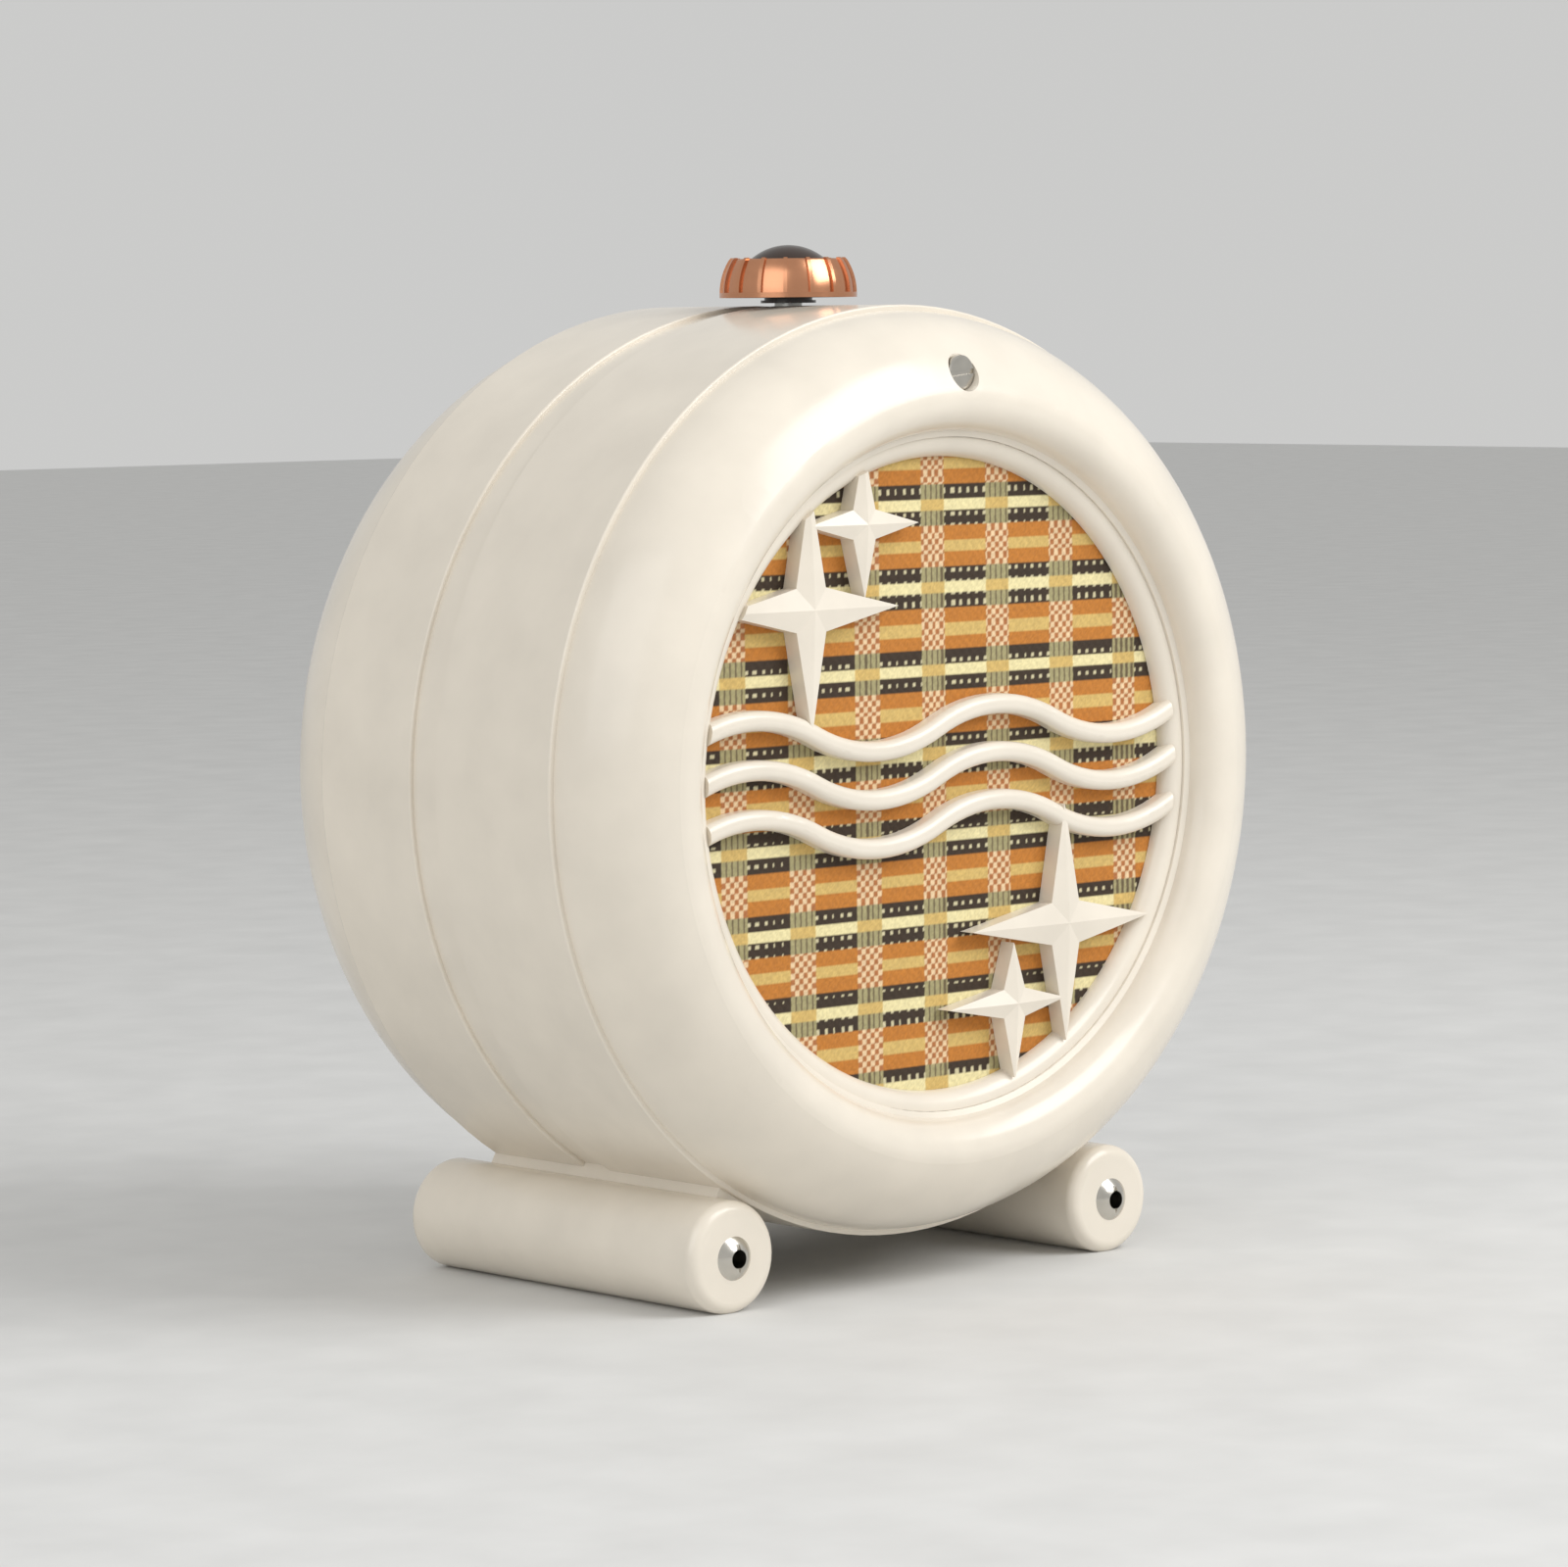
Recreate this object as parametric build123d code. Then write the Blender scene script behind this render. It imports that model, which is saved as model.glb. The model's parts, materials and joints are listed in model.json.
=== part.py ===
from build123d import *
import math
import os

# Round extension loudspeaker for a wired-radio outlet: a two-part drum on two cylinder feet.
# Millimetres.  Working frame: the drum's axis is Y, its centre is the origin, the seam between
# the two half shells is the plane y = 0, the front faces -Y and +Z is up.  place() moves every
# piece so that z = 0 is the ground and y = 0 is the middle of the depth.

# ---- case: driving sizes
DRUM_R = 100.0            # raised bands round the drum
STEP = 1.0                # depth of the step beside each band
WALL = 3.0                # moulded wall
FRONT_BAND = (-42.2, -5.4)
REAR_BAND = (2.8, 32.8)
FRONT_ROLL_R = 25.0       # big round between drum and rim
FRONT_ROLL_Y = -39.2
RIM_ROLL_R = 7.0          # small round over the rim's crest
RIM_INSET = 19.84         # crest of the rim, in from the bands
LIP_INSET = 8.16          # edge of the front opening, in from the crest
LIP_RISE = 0.5            # fall of the narrow ledge towards the opening
LIP_DEPTH = 2.8
REAR_ROLL_R = 38.0
REAR_ROLL_Y = 28.3
EDGE_ROUND = 0.45
SHELL_R = DRUM_R - STEP
INNER_R = SHELL_R - WALL

# ---- feet
FOOT_R = 12.0
FOOT_X = 56.3
FOOT_GAP = 1.3            # air between foot and drum, bridged by a web
FOOT_FRONT_Y = -48.4
FOOT_REAR_Y = 45.0
FOOT_ROUND = 2.5
FOOT_FLAT = 0.3           # depth of the flat under each foot
FOOT_WALL = 3.0
FOOT_POST_R = 5.5
FOOT_END_WALL = 7.0
FOOT_Z = -math.sqrt((DRUM_R + FOOT_GAP + FOOT_R) ** 2 - FOOT_X ** 2)
WEB_WIDTH = 9.0
WEB_FRONT_Y = -41.0
WEB_REAR_Y = 32.6

# ---- fits
FIT = 0.05                # radial clearance of fasteners and inserts in their holes
RUN = 0.05                # running clearance of the volume shaft in its bush
SOFT = 0.35               # air round the parts that the moving cone joins

# ---- front stack, from the opening back
SHELL_LIP_R = DRUM_R - RIM_INSET - LIP_INSET
FLANGE_THICK = 1.5
FLANGE_OVERLAP = 6.0
RING_WIDTH = 4.2
RING_ROUND = 3.7
RING_RISE = 0.6           # ring top below the edge of the ledge
CLOTH_THICK = 0.8
CLOTH_MARGIN = 1.0        # cloth beyond the insert's flange
BOARD_THICK = 5.0
BOARD_MARGIN = 18.0       # board beyond the front opening
BOSS_MARGIN = 12.0        # screw bosses beyond the front opening
BOSS_R = 3.6
BOSS_ANGLES = (45, 135, 225, 315)

# ---- grille pattern
BAR_WIDTH = 4.3
BAR_PITCH = 10.3
BAR_RISE = 4.15           # height of one half wave
HALF_WAVE = 35.3
BAR_DEPTH = 4.2
BAR_SHIFT_X = -2.3
BAR_SHIFT_Z = -0.1
STAR_EDGE = 4.0           # height of a star's side walls above the cloth
STAR_CREST = 1.3          # further rise of its ridges to the middle
# middle as degrees round the ring and inset from it, the reach of the left, right, upper and
# lower arm, then the notch x and z
STARS = (
    (137.4, 13.5, 25.0, 25.1, 26.0, 26.0, 4.2, 4.6),
    (114.4, 8.4, 16.0, 15.8, 16.0, 15.5, 3.2, 3.1),
    (-44.8, 19.0, 28.2, 26.0, 26.0, 26.0, 4.2, 4.6),
    (-69.6, 13.8, 19.5, 15.5, 13.1, 17.0, 3.2, 3.1),
)

# ---- loudspeaker
SPEAKER_R = 63.0
SPEAKER_FLANGE = 6.0      # width of the basket's flange and of the gasket
GASKET_THICK = 1.4
SHEET = 1.2               # pressed steel of the basket
CONE_INSET = 17.0         # cone's rim, in from the flange
DUST_CAP_R = 17.0
LEDGE_R = 38.2
BACK_R = 30.2
COIL_R = 12.85            # inside of the coil former
CONE_TRAVEL = 1.5
GAP_IN = 0.45             # air between pole and former
PLATE_THICK = 4.0
MAGNET_THICK = 12.0
MAGNET_R = 30.0

# ---- matching transformer: core as width, stack and height
CORE = (30.0, 14.0, 20.0)
YOKE_WIDTH = 3.5
LEG = 5.0

# ---- volume control and knob
KNOB_Y = -6.8
SHAFT_R = 3.0
SHELL_HOLE_GAP = 0.6      # round the shaft where it leaves the case
BRACKET_DROP = 5.5        # shelf below the inside of the drum
BRACKET_SHEET = 1.5
BRACKET_HALF = 13.0
POT_R = 12.0
POT_HEIGHT = 11.5
POT_WALL = 0.8
BUSH_WALL = 1.0
KNOB_GAP = 0.6            # neck above the drum
NECK_R = 5.25
KNOB_R = 15.0
KNOB_TOP_R = 12.35
SKIRT_BOTTOM = 1.8        # above the drum's top line
SKIRT_TOP = 10.2
RIM_HEIGHT = 1.1
RIBS = 16
RIB_WIDTH = 0.85
RIB_PROUD = 0.6
CAP_R = 8.6
CAP_SPHERE_R = 12.4
CAP_TOP = 13.2

# ---- fasteners
TOP_SCREW_MARGIN = 13.5   # screw above the front opening
TOP_SCREW_HEAD_R = 3.7
TOP_RECESS_R = 4.0
M4 = 2.0
TIE_DROP = 16.5           # tie screw below the shelf
NUT_HEAD_R = 4.65
SLEEVE_R = 3.0
SLEEVE_LENGTH = 26.0
FOOT_SINK = 4.5

# ---- rear face
VENT_HEIGHT = 3.4
VENT_PITCH = 9.0
VENT_ROWS = 8
VENT_LOW_Z = -22.0
VENT_FIELD_R = 50.0
OUTLET_Z = -45.0
OUTLET_BORE_R = 3.5
GROMMET_R = 8.5
GROOVE_R = 6.0
GROMMET_FLANGE = 1.5

# ---- places that follow
ROLL_R = SHELL_R - FRONT_ROLL_R
CREST_R = DRUM_R - RIM_INSET
CREST_Y = FRONT_ROLL_Y - math.sqrt((FRONT_ROLL_R - RIM_ROLL_R) ** 2 - (CREST_R - ROLL_R) ** 2)
FRONT_Y = CREST_Y - RIM_ROLL_R
LEDGE_Y = CREST_Y - 1.0
OPENING_Y = LEDGE_Y + LIP_RISE
FLANGE_Y = OPENING_Y + LIP_DEPTH
CLOTH_Y = FLANGE_Y + FLANGE_THICK
BOARD_Y = CLOTH_Y + CLOTH_THICK
BOARD_BACK = BOARD_Y + BOARD_THICK
REAR_ROLL_AT = SHELL_R - REAR_ROLL_R
REAR_Y = REAR_ROLL_Y + REAR_ROLL_R
SEAM_Y = -(FRONT_Y + REAR_Y) / 2
CENTRE_Z = FOOT_R - FOOT_FLAT - FOOT_Z
RING_R = SHELL_LIP_R - FIT
RING_INNER_R = RING_R - RING_WIDTH
FLANGE_R = SHELL_LIP_R + FLANGE_OVERLAP
BASKET_Y = BOARD_BACK + GASKET_THICK
BASKET_BACK = BASKET_Y + SHEET
LEDGE_FACE_Y = BASKET_BACK + 21.5
BACKPLATE_Y = LEDGE_FACE_Y + 7.4
TOP_PLATE_Y = BACKPLATE_Y + SHEET
MAGNET_Y = TOP_PLATE_Y + PLATE_THICK
YOKE_Y = MAGNET_Y + MAGNET_THICK
COIL_OUT = COIL_R + 0.3
FLANGE_REAR_Y = KNOB_Y + POT_R + 4.8
TIE_HEAD_Y = REAR_Y - 10.3
DRUM_TOP = DRUM_R
CLOTH_R = FLANGE_R + CLOTH_MARGIN
BOARD_R = SHELL_LIP_R + BOARD_MARGIN
BOSS_PITCH_R = SHELL_LIP_R + BOSS_MARGIN
TOP_SCREW_Z = SHELL_LIP_R + TOP_SCREW_MARGIN
TOP_SEAT_Y = FRONT_Y + 4.3
BOARD_HOLE_R = SPEAKER_R - SPEAKER_FLANGE
SPEAKER_BOLT_R = SPEAKER_R - SPEAKER_FLANGE / 2
CONE_R = SPEAKER_R - CONE_INSET
SURROUND_R = BOARD_HOLE_R - 3.2
BUSH_R = SHAFT_R + BUSH_WALL
BRACKET_Z = INNER_R - BRACKET_DROP
BRACKET_TOP = BRACKET_Z + BRACKET_SHEET
BRACKET_SCREW_Z = BRACKET_Z - 11
TIE_Z = BRACKET_Z - TIE_DROP
POT_FLOOR = BRACKET_Z - POT_HEIGHT
TRACK_Z = POT_FLOOR + POT_WALL
WIPER_Z = TRACK_Z + 1.9
COIL_BOX_Z = 13 - BOARD_R
CORE_Y = BOARD_BACK + 13.5
WINDOW = (CORE[2] - 2 * YOKE_WIDTH - LEG) / 2
CLIP_SCREW_X = CORE[0] / 2 + 5.5
PARTS = {}


# ---------------------------------------------------------------- basic shapes
def rod_y(radius, y0, y1, x=0.0, z=0.0):
    """A cylinder along Y between two stations."""
    return Pos(x, (y0 + y1) / 2, z) * Rot(90, 0, 0) * Cylinder(radius, y1 - y0)


def rod_z(radius, z0, z1, x=0.0, y=0.0):
    """A cylinder along Z between two heights."""
    return Pos(x, y, (z0 + z1) / 2) * Cylinder(radius, z1 - z0)


def tube_y(outer, inner, y0, y1, x=0.0, z=0.0):
    """A tube along Y."""
    return rod_y(outer, y0, y1, x, z) - rod_y(inner, y0 - 1, y1 + 1, x, z)


def block(x0, x1, y0, y1, z0, z1):
    """A box given by its faces."""
    return Pos((x0 + x1) / 2, (y0 + y1) / 2, (z0 + z1) / 2) * Box(x1 - x0, y1 - y0, z1 - z0)


def turned_y(*edges):
    """Revolve a closed outline, drawn as (radius, y), about the drum's axis."""
    return revolve(make_face(Sketch() + list(edges)), Axis.Y, 360)


def turned_poly_y(*points):
    """Revolve a polygon of (radius, y) about the drum's axis."""
    return revolve(make_face(Polyline(*points, close=True)), Axis.Y, 360)


def turned_z(outline):
    """Revolve a face drawn in the XZ plane about the knob's axis."""
    return Pos(0, KNOB_Y, 0) * revolve(outline, Axis.Z, 360)


def around(radius, angles):
    """Points (x, z) on a circle about the drum's axis."""
    return [(radius * math.cos(math.radians(a)), radius * math.sin(math.radians(a))) for a in angles]


def hex_nut(across, y0, y1, bore, x=0.0, z=0.0):
    """A hexagon nut whose axis is Y."""
    blank = extrude(Plane.XZ * RegularPolygon(across / 2, 6, major_radius=False), -(y1 - y0))
    return Pos(x, y0, z) * blank - rod_y(bore, y0 - 1, y1 + 1, x, z)


def place(solid):
    """Move a piece from the drum's frame to the part's own frame."""
    return Pos(0, SEAM_Y, CENTRE_Z) * solid


def keep(name, *solids):
    """Store one node, made of one or several separate solids."""
    PARTS[name] = [place(s) for s in solids]


# ---------------------------------------------------------------- shells
def front_outline(inner):
    """Outline of the front half, as the outside only or as a wall."""
    middle = (ROLL_R, FRONT_ROLL_Y)
    crest = (CREST_R, CREST_Y)
    reach = FRONT_ROLL_R - RIM_ROLL_R
    lean = ((crest[0] - middle[0]) / reach, (crest[1] - middle[1]) / reach)
    half = ((lean[0] + 1) / math.hypot(lean[0] + 1, lean[1]), lean[1] / math.hypot(lean[0] + 1, lean[1]))

    def on(centre, radius, direction):
        return (centre[0] + radius * direction[0], centre[1] + radius * direction[1])

    step_r = ROLL_R + math.sqrt(FRONT_ROLL_R ** 2 - (FRONT_BAND[0] - FRONT_ROLL_Y) ** 2)
    ledge_r = CREST_R - math.sqrt(RIM_ROLL_R ** 2 - (LEDGE_Y - CREST_Y) ** 2)
    join = on(middle, FRONT_ROLL_R, lean)
    band = Polyline((SHELL_R, 0), (SHELL_R, FRONT_BAND[1]), (DRUM_R, FRONT_BAND[1]),
                    (DRUM_R, FRONT_BAND[0]), (step_r, FRONT_BAND[0]))
    roll = ThreePointArc((step_r, FRONT_BAND[0]), on(middle, FRONT_ROLL_R, half), join)
    rim = ThreePointArc(join, (CREST_R, FRONT_Y), (ledge_r, LEDGE_Y))
    if not inner:
        edges = [band, roll, rim, Polyline((ledge_r, LEDGE_Y), (0, LEDGE_Y), (0, 0), (SHELL_R, 0))]
        return edges
    back_r = CREST_R - RIM_ROLL_R + WALL
    inside = on(middle, FRONT_ROLL_R - WALL, lean)
    lip = Polyline((ledge_r, LEDGE_Y), (SHELL_LIP_R, OPENING_Y), (SHELL_LIP_R, FLANGE_Y),
                   (back_r, FLANGE_Y), (back_r, CREST_Y))
    rim_back = ThreePointArc((back_r, CREST_Y), (CREST_R, FRONT_Y + WALL), inside)
    roll_back = ThreePointArc(inside, on(middle, FRONT_ROLL_R - WALL, half), (INNER_R, FRONT_ROLL_Y))
    close = Polyline((INNER_R, FRONT_ROLL_Y), (INNER_R, 0), (SHELL_R, 0))
    return [band, roll, rim, lip, rim_back, roll_back, close]


def soften_bands(shell):
    """Round the raised bands' outer edges; the one that the shaft hole cuts is chamfered."""
    edges = [e for e in shell.edges().filter_by(GeomType.CIRCLE) if abs(e.radius - DRUM_R) < 0.01]
    crossed = [e for e in edges if abs(e.center().Y - FRONT_BAND[1]) < 0.01]
    shell = fillet([e for e in edges if e not in crossed], EDGE_ROUND)
    if not crossed:
        return shell
    sharp = [e for e in shell.edges().filter_by(GeomType.CIRCLE)
             if abs(e.radius - DRUM_R) < 0.01 and abs(e.center().Y - FRONT_BAND[1]) < 0.01]
    return chamfer(sharp, EDGE_ROUND * 0.8)


def foot_half(side, y0, y1):
    """Half of one cylinder foot, solid, rounded at its outer end, with its web to the drum."""
    x = side * FOOT_X
    foot = rod_y(FOOT_R, y0, y1, x, FOOT_Z)
    ends = foot.edges().filter_by(GeomType.CIRCLE).sort_by(Axis.Y)
    foot = fillet(ends[0] if y0 < 0 else ends[-1], FOOT_ROUND)
    web_y = (WEB_FRONT_Y, 0) if y0 < 0 else (0, WEB_REAR_Y)
    low = SHELL_R - WALL / 2
    high = DRUM_R + FOOT_GAP + 1.5
    web = block(-WEB_WIDTH / 2, WEB_WIDTH / 2, web_y[0], web_y[1], low, high)
    turn = math.degrees(math.atan2(x, FOOT_Z))
    return foot + Rot(0, turn, 0) * web


def foot_cuts(side, y0, y1):
    """Hollow of one foot half, round its central post, and the flat underneath."""
    x = side * FOOT_X
    inner_end = (y0 + FOOT_END_WALL, 0) if y0 < 0 else (0, y1 - FOOT_END_WALL)
    hollow = tube_y(FOOT_R - FOOT_WALL, FOOT_POST_R, inner_end[0], inner_end[1], x, FOOT_Z)
    ground = FOOT_Z - FOOT_R + FOOT_FLAT
    flat = block(x - FOOT_R, x + FOOT_R, y0 - 1, y1 + 1, ground - 5, ground)
    return hollow + flat


def locating_lug(angle):
    """A tongue inside the front half that enters the rear half."""
    inside = tube_y(INNER_R + 0.5, INNER_R - WALL, -8, 0) + tube_y(INNER_R - 2 * FIT, INNER_R - WALL, -1, 4)
    wedge = block(0, DRUM_R, -9, 5, -6, 6)
    return inside & (Rot(0, -angle, 0) * wedge)


def front_shell():
    """Front half: drum, rolled rim, half feet, screw bosses and locating lugs."""
    shell = soften_bands(turned_y(*front_outline(True)))
    outside = turned_y(*front_outline(False))
    for side in (-1, 1):
        shell += foot_half(side, FOOT_FRONT_Y, 0)
    for x, z in around(BOSS_PITCH_R, BOSS_ANGLES):
        boss = rod_y(BOSS_R, FRONT_Y, BOARD_Y, x, z) & outside
        shell += boss - rod_y(1.5 + FIT, BOARD_Y - 7, BOARD_Y + 1, x, z)
    shell += rod_y(TOP_RECESS_R + 1.5, FRONT_Y, BOARD_Y, 0, TOP_SCREW_Z) & outside
    for angle in (20, 160, 240, 300):
        shell += locating_lug(angle)
    for side in (-1, 1):
        shell -= foot_cuts(side, FOOT_FRONT_Y, 0)
        x = side * FOOT_X
        shell -= rod_y(SLEEVE_R + FIT, FOOT_FRONT_Y - 1, FOOT_FRONT_Y + SLEEVE_LENGTH + 1, x, FOOT_Z)
        shell -= rod_y(M4 + 0.2, FOOT_FRONT_Y, 1, x, FOOT_Z)
    shell -= rod_y(TOP_RECESS_R, FRONT_Y - 1, TOP_SEAT_Y, 0, TOP_SCREW_Z)
    shell -= rod_y(M4 + 0.2, TOP_SEAT_Y - 1, BOARD_Y + 1, 0, TOP_SCREW_Z)
    shell -= rod_z(SHAFT_R + SHELL_HOLE_GAP, BRACKET_TOP, DRUM_R + 5, 0, KNOB_Y)
    return shell


def rear_outline(inner):
    """Outline of the rear half, as the outside only or as a wall."""
    middle = (REAR_ROLL_AT, REAR_ROLL_Y)
    step_r = REAR_ROLL_AT + math.sqrt(REAR_ROLL_R ** 2 - (REAR_BAND[1] - REAR_ROLL_Y) ** 2)
    diagonal = math.sqrt(0.5)
    band = Polyline((SHELL_R, 0), (SHELL_R, REAR_BAND[0]), (DRUM_R, REAR_BAND[0]),
                    (DRUM_R, REAR_BAND[1]), (step_r, REAR_BAND[1]))
    reach = REAR_ROLL_R * diagonal
    roll = ThreePointArc((step_r, REAR_BAND[1]), (middle[0] + reach, middle[1] + reach),
                         (middle[0], REAR_Y))
    if not inner:
        return [band, roll, Polyline((middle[0], REAR_Y), (0, REAR_Y), (0, 0), (SHELL_R, 0))]
    reach = (REAR_ROLL_R - WALL) * diagonal
    back = Polyline((middle[0], REAR_Y), (0, REAR_Y), (0, REAR_Y - WALL), (middle[0], REAR_Y - WALL))
    roll_back = ThreePointArc((middle[0], REAR_Y - WALL), (middle[0] + reach, middle[1] + reach),
                              (INNER_R, REAR_ROLL_Y))
    close = Polyline((INNER_R, REAR_ROLL_Y), (INNER_R, 0), (SHELL_R, 0))
    return [band, roll, back, roll_back, close]


def vent(row):
    """One horizontal slot of the rear sound vents."""
    z = VENT_LOW_Z + row * VENT_PITCH
    length = 2 * math.sqrt(VENT_FIELD_R ** 2 - z ** 2)
    slot = Plane.XZ * SlotOverall(length, VENT_HEIGHT)
    return Pos(0, REAR_Y + 5, z) * extrude(slot, 20)


def rear_shell():
    """Rear half: drum, domed back with vents, half feet, tie boss and cord outlet."""
    shell = soften_bands(turned_y(*rear_outline(True)))
    outside = turned_y(*rear_outline(False))
    for side in (-1, 1):
        shell += foot_half(side, 0, FOOT_REAR_Y)
    shell += rod_y(5.0, FLANGE_REAR_Y + BRACKET_SHEET, REAR_Y, 0, TIE_Z) & outside
    shell += rod_y(7.5, TIE_HEAD_Y - 3, REAR_Y, 0, TIE_Z) & outside
    outlet_in = REAR_Y - GROMMET_FLANGE - 0.1 - WALL
    shell += rod_y(GROMMET_R + 2.5, outlet_in, REAR_Y, 0, OUTLET_Z)
    for side in (-1, 1):
        shell -= foot_cuts(side, 0, FOOT_REAR_Y)
        x = side * FOOT_X
        shell -= rod_y(M4 + 0.2, -1, FOOT_REAR_Y, x, FOOT_Z)
        shell -= rod_y(M4 + 2.6, FOOT_REAR_Y - FOOT_SINK, FOOT_REAR_Y + 1, x, FOOT_Z)
    shell -= rod_y(M4 + 0.2, 0, REAR_Y, 0, TIE_Z)
    shell -= rod_y(M4 + 2.6, TIE_HEAD_Y, REAR_Y + 1, 0, TIE_Z)
    shell -= rod_y(GROMMET_R + 1, outlet_in + WALL, REAR_Y + 1, 0, OUTLET_Z)
    shell -= rod_y(GROOVE_R, outlet_in - 1, REAR_Y, 0, OUTLET_Z)
    for row in range(VENT_ROWS):
        shell -= vent(row)
    return shell


# ---------------------------------------------------------------- grille
def grille_ring():
    """The ring that fills the opening, with its flange behind the shell's lip."""
    top = OPENING_Y + RING_RISE
    turn = (RING_INNER_R + RING_ROUND, top + RING_ROUND)
    diagonal = RING_ROUND * math.sqrt(0.5)
    shoulder = ThreePointArc((turn[0], top), (turn[0] - diagonal, turn[1] - diagonal),
                             (RING_INNER_R, turn[1]))
    rest = Polyline((RING_INNER_R, turn[1]), (RING_INNER_R, CLOTH_Y), (FLANGE_R, CLOTH_Y),
                    (FLANGE_R, FLANGE_Y), (RING_R, FLANGE_Y), (RING_R, top), (turn[0], top))
    return turned_y(shoulder, rest)


def wave_path():
    """Centre line of one bar: equal arcs that bend up and down in turn."""
    points = []
    first = -3 * HALF_WAVE
    for i in range(6):
        start = first + i * HALF_WAVE
        rise = BAR_RISE if i % 2 else -BAR_RISE
        points.append(ThreePointArc((start, 0), (start + HALF_WAVE / 2, rise), (start + HALF_WAVE, 0)))
    return points


def wave_bar(level):
    """One wavy bar with a rounded front, cut to the ring."""
    line = Wire(wave_path())
    strip = Plane.XZ * offset(line, BAR_WIDTH / 2, side=Side.BOTH)
    face = make_face(strip) if not isinstance(strip, Sketch) else strip
    bar = extrude(face, BAR_DEPTH)
    front = bar.edges().filter_by(lambda e: abs(e.center().Y + BAR_DEPTH) < 0.01)
    long_edges = [e for e in front if e.length > BAR_WIDTH * 1.5]
    bar = fillet(long_edges, BAR_WIDTH * 0.42)
    bar = Pos(BAR_SHIFT_X, CLOTH_Y, BAR_SHIFT_Z + level * BAR_PITCH) * bar
    return bar & rod_y(RING_INNER_R + 1.5, CLOTH_Y - 10, CLOTH_Y)


def star(angle, inset, left, right, up, down, notch_x, notch_z):
    """A four-pointed star: straight side walls and eight facets that rise to its middle."""
    x, z = around(RING_INNER_R - inset, (angle,))[0]
    edge_y = CLOTH_Y - STAR_EDGE
    rim = [(x + right, z), (x + notch_x, z + notch_z), (x, z + up), (x - notch_x, z + notch_z),
           (x - left, z), (x - notch_x, z - notch_z), (x, z - down), (x + notch_x, z - notch_z)]
    outline = [Vector(px, edge_y, pz) for px, pz in rim]
    apex = Vector(x, edge_y - STAR_CREST, z)
    faces = [Face(Wire.make_polygon(outline, close=True))]
    for i in range(len(outline)):
        a, b = outline[i], outline[(i + 1) % len(outline)]
        faces.append(Face(Wire.make_polygon([a, b, apex], close=True)))
    crest = Solid(Shell(faces))
    base = extrude(Plane.XZ * make_face(Polyline(*rim, close=True)), STAR_EDGE)
    whole = Pos(0, CLOTH_Y, 0) * base + crest
    return whole & rod_y(RING_INNER_R + 1.5, CLOTH_Y - 10, CLOTH_Y)


def grille_insert():
    """Ring, three waves and four stars in one moulding."""
    insert = grille_ring()
    for level in (-1, 0, 1):
        insert += wave_bar(level)
    for shape in STARS:
        insert += star(*shape)
    return insert


def cloth_and_board():
    """Woven cloth, and the board that clamps it and carries the loudspeaker."""
    keep("speaker_cloth", rod_y(CLOTH_R, CLOTH_Y, BOARD_Y))
    board = tube_y(BOARD_R, BOARD_HOLE_R, BOARD_Y, BOARD_BACK)
    for x, z in around(BOSS_PITCH_R, BOSS_ANGLES):
        board -= rod_y(1.5 + 2 * FIT, BOARD_Y - 1, BOARD_BACK + 1, x, z)
    for x, z in around(SPEAKER_BOLT_R, BOSS_ANGLES):
        board -= rod_y(1.75 + FIT, BOARD_Y - 1, BOARD_BACK + 1, x, z)
        board -= Pos(x, BOARD_Y + 1, z) * Rot(90, 0, 0) * Cone(1.75 + FIT, 3.6 + FIT, 2)
    board -= rod_y(M4 + 0.2, BOARD_Y - 1, BOARD_BACK + 1, 0, TOP_SCREW_Z)
    for side in (-1, 1):
        board -= rod_y(1.2 + FIT, BOARD_BACK - 4.2, BOARD_BACK + 1, side * CLIP_SCREW_X, COIL_BOX_Z)
        board -= rod_y(1.5 + FIT, BOARD_BACK - 4.2, BOARD_BACK + 1, side * 8, BRACKET_SCREW_Z)
    keep("baffle_board", board)


# ---------------------------------------------------------------- loudspeaker
def speaker_basket():
    """Pressed steel frame with its flange, six windows, spider ledge and back plate."""
    basket = turned_poly_y(
        (SPEAKER_R, BASKET_Y), (SPEAKER_R, BASKET_BACK), (SURROUND_R + 1.7, BASKET_BACK),
        (LEDGE_R + 0.8, LEDGE_FACE_Y + SHEET), (BACK_R, LEDGE_FACE_Y + SHEET),
        (BACK_R, TOP_PLATE_Y), (COIL_R + 1.8, TOP_PLATE_Y), (COIL_R + 1.8, BACKPLATE_Y),
        (BACK_R - SHEET, BACKPLATE_Y), (BACK_R - SHEET, LEDGE_FACE_Y), (LEDGE_R, LEDGE_FACE_Y),
        (SURROUND_R + 0.6, BASKET_Y))
    for i in range(6):
        window = block(LEDGE_R - 2, SPEAKER_BOLT_R, BASKET_BACK + 4, LEDGE_FACE_Y - 3, -11, 11)
        basket -= Rot(0, 30 + 60 * i, 0) * window
    for x, z in around(SPEAKER_BOLT_R, BOSS_ANGLES):
        basket -= rod_y(1.75 + FIT, BASKET_Y - 1, BASKET_BACK + 1, x, z)
    return basket


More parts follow.
